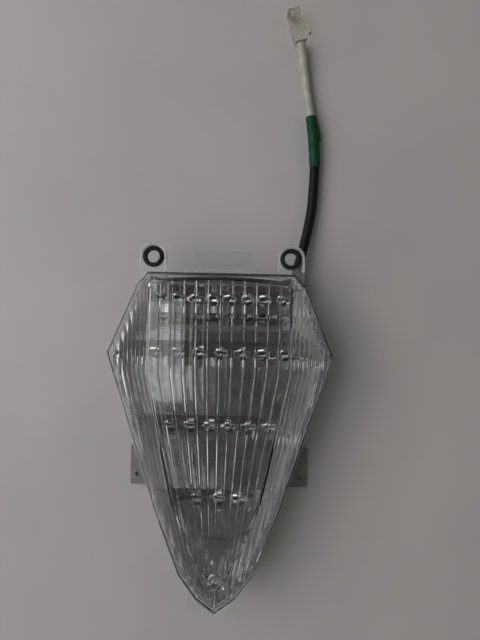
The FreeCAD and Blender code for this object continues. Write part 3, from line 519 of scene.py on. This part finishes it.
def lens_outer():
    """Outer surface as grid patches: points in millimetres and flute thickness."""
    face = [face_point(rim, crest) for rim, crest in zip(RIM, CREST)]
    marks = stepped_path(RIM)
    front = []
    facet = []
    for mark in marks:
        half, y = on_path(face, mark)
        low = (*ledge_point(*on_path(RIM, mark)), LEDGE_TOP)
        high = (half, y, crown_height(half, y))
        plain = mark == marks[0]
        front.append(face_row(face, half, y, plain))
        facet.append(facet_row(face, low, high, plain))
    left = [[((-x, y, z), thick) for (x, y, z), thick in row] for row in facet]
    across = [point[0] / face[0][0] for point, _ in front[0]]
    heights = [(point[2] - LEDGE_TOP) / (facet[0][-1][0][2] - LEDGE_TOP)
               for point, _ in facet[0]]
    return [front, facet, left, top_wall(face[0], across, heights)] + rim_band(marks, across)


def ledge_point(x, y):
    shrink = 1 - RIM_LEDGE / math.hypot(x, y)
    return x * shrink, y * shrink


def top_wall(face_corner, across_all, heights):
    """Smooth wall between the rim's upper edge and the front face's bowed upper edge."""
    low_x, low_y = ledge_point(*RIM[0])
    rows = []
    for part in heights:
        row = []
        for across in across_all:
            x = face_corner[0] * across
            high_y = face_corner[1] + TOP_BOW * (1 - across ** 2)
            high = (x, high_y, crown_height(x, high_y))
            low = (low_x * across, low_y, LEDGE_TOP)
            row.append((between(low, high, part), 0.0))
        rows.append(row)
    return rows


def rim_band(marks, across_all):
    """Rim strips: the ledge on top and the upright edge, along both sides and the top."""
    bands = []
    side = [on_path(RIM, mark) for mark in marks]
    ledge_x, ledge_y = ledge_point(*RIM[0])
    top = [(RIM[0][0] * across, RIM[0][1]) for across in across_all]
    top_ledge = [(ledge_x * across, ledge_y) for across in across_all]
    left = [(-x, y) for x, y in side]
    for path, inner in ((side, [ledge_point(*p) for p in side]),
                        (left, [ledge_point(*p) for p in left]),
                        (top, top_ledge)):
        rows = []
        for (x, y), (ix, iy) in zip(path, inner):
            rows.append([((x, y, LENS_LOW), 0.0), ((x, y, LENS_RIM_TOP), 0.0),
                         ((ix, iy, LEDGE_TOP), 0.0)])
        bands.append(rows)
    return bands


def make_lens(material):
    """Hollow lens: smooth outside, fluted inside, open towards the housing."""
    work = bmesh.new()
    extra = work.verts.layers.float.new("extra")
    for rows in lens_outer():
        grid = []
        for row in rows:
            line = []
            for point, thick in row:
                vertex = work.verts.new(Vector(point))
                vertex[extra] = thick
                line.append(vertex)
            grid.append(line)
        for low, high in zip(grid, grid[1:]):
            for i in range(len(low) - 1):
                work.faces.new((low[i], low[i + 1], high[i + 1], high[i]))
    bmesh.ops.remove_doubles(work, verts=work.verts, dist=0.01)
    bmesh.ops.recalc_face_normals(work, faces=work.faces)
    work.normal_update()
    outside = list(work.verts)
    sample = max(work.faces, key=lambda face: face.calc_center_median().z)
    if sample.normal.dot(sample.calc_center_median() - INSIDE_LENS) < 0:
        bmesh.ops.reverse_faces(work, faces=work.faces)
        work.normal_update()
    boundary = [edge for edge in work.edges if edge.is_boundary]
    copies = {}
    for vertex in outside:
        inward = -vertex.normal
        if abs(vertex.co.z - LENS_LOW) < 0.01:
            inward = Vector((inward.x, inward.y, 0)).normalized()
        copies[vertex] = work.verts.new(vertex.co + inward * (LENS_WALL + vertex[extra]))
    for face in list(work.faces):
        corners = [copies[vertex] for vertex in reversed(face.verts)]
        work.faces.new(corners)
    for edge in boundary:
        first, second = edge.verts
        work.faces.new((first, second, copies[second], copies[first]))
    bmesh.ops.scale(work, vec=(MM, MM, MM), verts=work.verts)
    mesh = bpy.data.meshes.new("fluted_lens")
    work.to_mesh(mesh)
    work.free()
    piece = bpy.data.objects.new("fluted_lens", mesh)
    bpy.context.collection.objects.link(piece)
    mesh.materials.append(material)
    soften(piece, LENS_CREASE)
    return own_piece(piece, stands_for=["lens"])


# Lamp rows --------------------------------------------------------------------------

RISER_TILT = 50.0
LAMP_LENGTH = 8.6
LAMP_RADIUS = 2.5
LAMP_FLANGE_R = 2.9
LAMP_FLANGE = 0.9
LAMPS_IN_ROW = {1: 8, 2: 7, 3: 6, 4: 3, 5: 1}
TIP_ROW = 5
# Rings round the lamps: the radius of their middle line, and their foot along the lamp's axis.
RISER_RING = (4.2, 2.0)
POCKET_RING = (5.0, 7.0)
RING_HALF = 0.9
RING_RISE = 1.2


def lamp_transforms(row):
    """Where each lamp of a row stands: its base, with its axis along local +Z."""
    low, high = [Vector(corner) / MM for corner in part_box(f"led_row_{row}")]
    count = LAMPS_IN_ROW[row]
    tilt = 0.0 if row == TIP_ROW else RISER_TILT
    turn = Matrix.Rotation(math.radians(tilt), 4, "X")
    axis = turn @ Vector((0, 0, 1))
    middle = (low + high) / 2
    first = low.x + LAMP_FLANGE_R
    last = high.x - LAMP_FLANGE_R
    transforms = []
    for i in range(count):
        x = first + (last - first) * i / max(1, count - 1)
        base = Vector((x, middle.y, middle.z)) - axis * LAMP_LENGTH / 2
        transforms.append(Matrix.Translation(base) @ turn)
    return transforms


def lamp_body_profile():
    """Round-nosed clear lamp with a flange at its base."""
    profile = [(0, 0), (LAMP_FLANGE_R, 0), (LAMP_FLANGE_R, LAMP_FLANGE),
               (LAMP_RADIUS, LAMP_FLANGE + 0.1)]
    top = LAMP_LENGTH - LAMP_RADIUS
    profile.append((LAMP_RADIUS, top))
    for i in range(1, 8):
        angle = math.pi / 2 * i / 8
        profile.append((LAMP_RADIUS * math.cos(angle), top + LAMP_RADIUS * math.sin(angle)))
    profile.append((0, LAMP_LENGTH))
    return profile


def lamp_metal_shape():
    """Inside metal of a lamp: a cup on its post and the thinner second post."""
    cup = lathe([(0, 3.0), (0.9, 3.2), (1.3, 4.8), (1.1, 4.8), (0.45, 4.1), (0, 4.1)], 16)
    post = lathe([(0, 0.3), (0.35, 0.3), (0.35, 3.4), (0.6, 3.6), (0, 3.6)], 8)
    vertices, faces = [], []
    for (points, polygons), shift in ((cup, -0.3), (post, -0.3), (post, 1.5)):
        start = len(vertices)
        vertices += [point + Vector((shift, 0, 0)) for point in points]
        faces += [[start + i for i in face] for face in polygons]
    return vertices, faces


def surround_profile(middle, low):
    """Rounded bright ring that the mirror raises round a lamp, at a height along its axis."""
    profile = [(middle - RING_HALF, low)]
    for i in range(9):
        angle = math.pi * (1 - i / 8)
        profile.append((middle + RING_HALF * math.cos(angle),
                        low + RING_RISE + RING_HALF * math.sin(angle)))
    return profile + [(middle + RING_HALF, low), profile[0]]


def make_lamps(epoxy, metal, mirror):
    body_shape = lathe(lamp_body_profile(), 24)
    metal_shape = lamp_metal_shape()
    riser_ring = lathe(surround_profile(*RISER_RING), 32)
    pocket_ring = lathe(surround_profile(*POCKET_RING), 32)
    for row in LAMPS_IN_ROW:
        transforms = lamp_transforms(row)
        lamps = mesh_object(f"lamps_{row}", *repeated(body_shape, transforms), epoxy)
        soften(lamps)
        own_piece(lamps, stands_for=[f"led_row_{row}"])
        cups = mesh_object(f"lamp_cups_{row}", *repeated(metal_shape, transforms), metal)
        soften(cups, 40)
        own_piece(cups)
        ring = pocket_ring if row == TIP_ROW else riser_ring
        rings = mesh_object(f"lamp_surrounds_{row}", *repeated(ring, transforms), mirror)
        soften(rings, 60)
        own_piece(rings)


# Ears and grommets ------------------------------------------------------------------

EAR_X = 45.5
EAR_Y = 119.9
EAR_OUTER = 9.1
EAR_EDGE_TOP = 36.0
EAR_FOOT = 1.2
EDGE_HALF = 0.8
LEDGE_HALF = 0.6
# Left half of the line along the stepped ledge's upper edge.
LEDGE_STEPS = [(-24.6, 108.5), (-24.6, 110.5), (-17.4, 110.5), (-17.4, 111.8)]
FLANGE_LOW = 31.0
FLANGE_TOP = 34.0
GROMMET_HOLE = 4.15
GROMMET_GROOVE = 5.2
GROMMET_OUTER = 7.0
GROMMET_LIP = 1.5
OUTER_ROUNDING = 0.75
HOLE_ROUNDING = 0.9


def ear_line(x):
    """Middle line of an ear's raised edge, up one side, round the end and down the other."""
    radius = EAR_OUTER - EDGE_HALF
    foot = RIM[0][1] + EAR_FOOT
    line = [Vector((x - radius, foot, EAR_EDGE_TOP))]
    for i in range(25):
        angle = math.pi * (1 - i / 24)
        line.append(Vector((x + radius * math.cos(angle), EAR_Y + radius * math.sin(angle),
                            EAR_EDGE_TOP)))
    line.append(Vector((x + radius, foot, EAR_EDGE_TOP)))
    return line


def ledge_line():
    """Middle line of the rounded edge along the stepped ledge between the ears."""
    left = [Vector((x, y, FLANGE_TOP)) for x, y in LEDGE_STEPS]
    right = [Vector((-point.x, point.y, point.z)) for point in reversed(left)]
    return left + right


def half_round(half):
    """Section of a moulded bead: round on top, and nearly flat below."""
    angles = [math.pi * i / 8 for i in range(9)]
    section = [(half * math.cos(angle), half * math.sin(angle)) for angle in angles]
    inner = 0.4 * half
    hollow = 0.02
    return section + [(-inner, hollow), (inner, hollow)]


def make_beads(material):
    """Rounded tops of the ears' raised edges and of the stepped ledge."""
    for name, line, half in (("ear_edge_left", ear_line(-EAR_X), EDGE_HALF),
                             ("ear_edge_right", ear_line(EAR_X), EDGE_HALF),
                             ("catch_ledge_edge", ledge_line(), LEDGE_HALF)):
        section = half_round(half)
        bead = mesh_object(name, *swept(line, lambda part: section), material)
        soften(bead, 50)
        own_piece(bead)


def grommet_profile():
    """Closed section of a grommet: two rounded lips and the groove between them."""
    lip = [(GROMMET_GROOVE, 0.0)]
    for i in range(10):
        angle = math.pi * i / 12 - math.pi / 2
        lip.append((GROMMET_OUTER - OUTER_ROUNDING + OUTER_ROUNDING * math.cos(angle),
                    OUTER_ROUNDING + OUTER_ROUNDING * math.sin(angle)))
    for i in range(7):
        angle = math.pi / 2 + math.pi * i / 12
        lip.append((GROMMET_HOLE + HOLE_ROUNDING + HOLE_ROUNDING * math.cos(angle),
                    GROMMET_LIP - HOLE_ROUNDING + HOLE_ROUNDING * math.sin(angle)))
    upper = [(radius, FLANGE_TOP + height) for radius, height in lip]
    lower = [(radius, FLANGE_LOW - height) for radius, height in reversed(lip)]
    return upper + lower + [upper[0]]


def make_grommets(material):
    shape = lathe(grommet_profile(), 48)
    for side, x in (("left", -EAR_X), ("right", EAR_X)):
        spot = Matrix.Translation(Vector((x, EAR_Y, 0)))
        grommet = mesh_object(f"grommet_{side}", *repeated(shape, [spot]), material)
        soften(grommet, 50)
        own_piece(grommet, stands_for=[f"ear_grommet_{side}"])


# Lead, splice and plug --------------------------------------------------------------

BLACK_ROUTE = [(52.4, 116.0, 7.15), (56.1, 130.0, 6.2), (59.6, 146.0, 4.6),
               (62.4, 164.0, 3.7), (63.0, 188.5, 4.15)]
TAPE_ROUTE = [(63.0, 188.5, 4.15), (62.5, 206.0, 4.15), (59.6, 223.8, 4.15)]
WHITE_ROUTE = [(59.6, 223.8, 4.15), (56.9, 239.0, 3.2), (54.4, 256.0, 3.6),
               (51.4, 274.9, 5.85)]
BLACK_DIAMETER = 6.8
TAPE_DIAMETER = 8.2
WHITE_DIAMETER = 6.0


def route_curve(name, route, radius, material):
    """Smooth open curve with the route as its control points, in metres."""
    data = bpy.data.curves.new(name, "CURVE")
    data.dimensions = "3D"
    spline = data.splines.new("NURBS")
    spline.points.add(len(route) - 1)
    for point, spot in zip(spline.points, route):
        point.co = (*(value * MM for value in spot), 1)
    spline.order_u = 3
    spline.use_endpoint_u = True
    spline.resolution_u = 16
    data.bevel_depth = radius * MM
    data.bevel_resolution = 6
    data.use_fill_caps = True
    piece = bpy.data.objects.new(name, data)
    bpy.context.collection.objects.link(piece)
    data.materials.append(material)
    return piece


def curve_line(name, route):
    """Evenly read points of a route's smooth line, in millimetres."""
    guide = route_curve(name, route, 0.0, bpy.data.materials[0])
    bpy.context.view_layer.update()
    mesh = bpy.data.meshes.new_from_object(guide.evaluated_get(
        bpy.context.evaluated_depsgraph_get()))
    line = [vertex.co / MM for vertex in mesh.vertices]
    bpy.data.meshes.remove(mesh)
    bpy.data.objects.remove(guide)
    return line


def line_length(line):
    return sum((b - a).length for a, b in zip(line, line[1:]))


def swept(line, section_at):
    """Closed solid along a line; section_at(part) gives its (across, up) pairs in millimetres."""
    vertices = []
    faces = []
    total = line_length(line)
    travelled = 0.0
    for i, point in enumerate(line):
        if i:
            travelled += (point - line[i - 1]).length
        ahead = line[min(i + 1, len(line) - 1)] - line[max(i - 1, 0)]
        side = ahead.cross(Vector((0, 0, 1))).normalized()
        up = side.cross(ahead).normalized()
        section = section_at(travelled / total)
        vertices += [point + side * across + up * height for across, height in section]
    count = len(vertices) // len(line)
    for i in range(len(line) - 1):
        for j in range(count):
            follow = (j + 1) % count
            faces.append([i * count + j, i * count + follow,
                          (i + 1) * count + follow, (i + 1) * count + j])
    faces.append(list(range(count))[::-1])
    faces.append([(len(line) - 1) * count + j for j in range(count)])
    return [vertex * MM for vertex in vertices], faces


def refined(line, count):
    """The same line with evenly spaced points."""
    total = line_length(line)
    points = [line[0]]
    travelled = 0.0
    target = total / count
    for a, b in zip(line, line[1:]):
        run = (b - a).length
        while travelled + run >= target - 1e-6 and len(points) < count:
            points.append(a + (b - a) * ((target - travelled) / run))
            target += total / count
        travelled += run
    points.append(line[-1])
    return points


TAPE_TURNS = 5
TAPE_SIDES = 40
TAPE_STEP = 0.25
TAPE_SUNK = 0.35
TAPE_END_ROUNDING = 0.5
TAPE_END_LENGTH = 0.04
WRINKLE = 0.08
# The tape's free end: where along the winding it lifts, how far, and how wide it is in radians.
LOOSE_START = 0.5
LOOSE_END = 0.95
LOOSE_LIFT = 1.7
LOOSE_WIDTH = 0.7


def tape_radius(part, angle):
    """Tape wound in overlapping turns, with the last turn's end lifting off on the +X side."""
    along = (part * TAPE_TURNS + angle / (2 * math.pi)) % 1.0
    step = TAPE_STEP * (1 - along)
    ends = TAPE_END_ROUNDING * max(0.0, 1 - min(part, 1 - part) / TAPE_END_LENGTH)
    wrinkle = WRINKLE * math.sin(9 * angle + 40 * part) * math.sin(23 * part)
    return TAPE_DIAMETER / 2 - TAPE_SUNK + step - ends + wrinkle + loose_end(part, angle)


def loose_end(part, angle):
    """How far the tape's free end stands off the winding."""
    if not LOOSE_START < part < LOOSE_END:
        return 0.0
    away = abs((angle + math.pi) % (2 * math.pi) - math.pi)
    lift = LOOSE_LIFT * (LOOSE_END - part) / (LOOSE_END - LOOSE_START)
    return lift * max(0.0, 1 - away / LOOSE_WIDTH)


def tape_section(part):
    section = []
    for i in range(TAPE_SIDES):
        angle = 2 * math.pi * i / TAPE_SIDES
        radius = tape_radius(part, angle)
        section.append((radius * math.cos(angle), radius * math.sin(angle)))
    return section


def make_tape(material):
    line = refined(curve_line("tape_guide", TAPE_ROUTE), 90)
    tape = mesh_object("tape_wrap", *swept(line, tape_section), material)
    soften(tape, 50)
    return own_piece(tape, stands_for=["splice_tape"])


def make_cords(black, white, green):
    tape = make_tape(green)
    dark = route_curve("black_lead", BLACK_ROUTE, BLACK_DIAMETER / 2, black)
    own_piece(dark, stands_for=["lead_black"])
    length = line_length(curve_line("black_guide", BLACK_ROUTE)) * MM
    light = route_curve("white_lead", WHITE_ROUTE, WHITE_DIAMETER / 2, white)
    own_piece(light, stands_for=["lead_white"])
    length = line_length(curve_line("white_guide", WHITE_ROUTE)) * MM


# Frame nodes that keep their shape --------------------------------------------------

def dress_node(node, material):
    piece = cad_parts[node]
    if not piece.material_slots:
        piece.data.materials.append(material)
    for slot in piece.material_slots:
        slot.link = "OBJECT"
        slot.material = material


def round_edges(nodes, width, angle=35):
    """Small moulding radius on the sharp edges of frame nodes."""
    for node in nodes:
        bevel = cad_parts[node].modifiers.new("edges", "BEVEL")
        bevel.width = width * MM
        bevel.segments = 2
        bevel.limit_method = "ANGLE"
        bevel.angle_limit = math.radians(angle)


def dress_nodes(finishes):
    for material, nodes in finishes:
        for node in nodes:
            dress_node(node, material)


FLOOR_HALF = 3000.0
FLOOR_GAP = 0.2


def make_floor():
    corners = [place(x * FLOOR_HALF, y * FLOOR_HALF, 0)
               for x, y in ((-1, -1), (1, -1), (1, 1), (-1, 1))]
    floor = mesh_object("floor", corners, [[0, 1, 2, 3]], floor_material())
    floor.location.z = -FLOOR_GAP * MM


def build():
    make_camera()
    black_rubber = rubber("black_rubber", (0.009, 0.009, 0.0095))
    black_cable = rubber("black_cable", (0.004, 0.0035, 0.003), 0.5)
    white_cable = moulded_plastic("white_cable", (0.44, 0.43, 0.385), 0.5)
    green_tape = rubber("green_tape", (0.002, 0.042, 0.019), 0.5)
    make_cords(black_cable, white_cable, green_tape)
    lens_clear = clear_plastic("lens_clear", (0.98, 0.98, 0.97), 0.015)
    shell_clear = clear_plastic("shell_clear", (0.97, 0.98, 0.975), 0.04, clear=0.92)
    # The seal's grey tint is painted shade: it darkens the rim band and the facets seen through it.
    seal_clear = clear_plastic("seal_clear", (0.75, 0.74, 0.72), 0.2, 1.41)
    strap_clear = clear_plastic("strap_clear", (0.99, 0.995, 0.99), 0.03)
    plug_clear = clear_plastic("plug_clear", (0.96, 0.96, 0.93), 0.06)
    epoxy = clear_plastic("led_epoxy", (0.98, 0.985, 0.98), 0.02, 1.53)
    mirror = bright_mirror()
    steel = plain_metal("zinc_steel", (0.55, 0.56, 0.58), 0.32)
    lamp_silver = plain_metal("lamp_silver", (0.86, 0.86, 0.85), 0.14)
    gold = plain_metal("gold_plate", (0.83, 0.60, 0.22), 0.25)
    board = circuit_board()
    grey = moulded_plastic("grey_plastic", (0.235, 0.222, 0.205), 0.55)
    black_part = moulded_plastic("black_part", (0.02, 0.02, 0.02), 0.4)
    flat_lead = moulded_plastic("flat_lead", (0.6, 0.6, 0.57), 0.4)
    red_wire = moulded_plastic("red_wire", (0.35, 0.02, 0.02), 0.35)
    make_lens(lens_clear)
    make_lamps(epoxy, lamp_silver, mirror)
    make_beads(shell_clear)
    make_grommets(black_rubber)
    dress_nodes([
        (shell_clear, ["housing"]),
        (strap_clear, ["rear_strap"]),
        (seal_clear, ["lens_seal"]),
        (black_rubber, ["cable_gland", "breather_cap"]),
        (mirror, ["reflector"]),
        (grey, ["side_tab_left", "side_tab_right"]),
        (steel, ["tab_screws", "strap_screws", "board_screws"]),
        (board, ["driver_board"] + [f"led_board_{row}" for row in LAMPS_IN_ROW]),
        (black_part, ["resistors", "diodes", "driver_chip"]),
        (flat_lead, ["board_leads"]),
        (red_wire, ["supply_wires"]),
        (plug_clear, ["plug_body", "plug_latch"]),
        (gold, ["plug_contacts"]),
    ])
    round_edges(["reflector"], 0.5)
    round_edges(["plug_body"], 0.4)
    round_edges(["side_tab_left", "side_tab_right"], 0.25)
    round_edges(["rear_strap"], 0.5)
    make_floor()
    make_lights()


build()
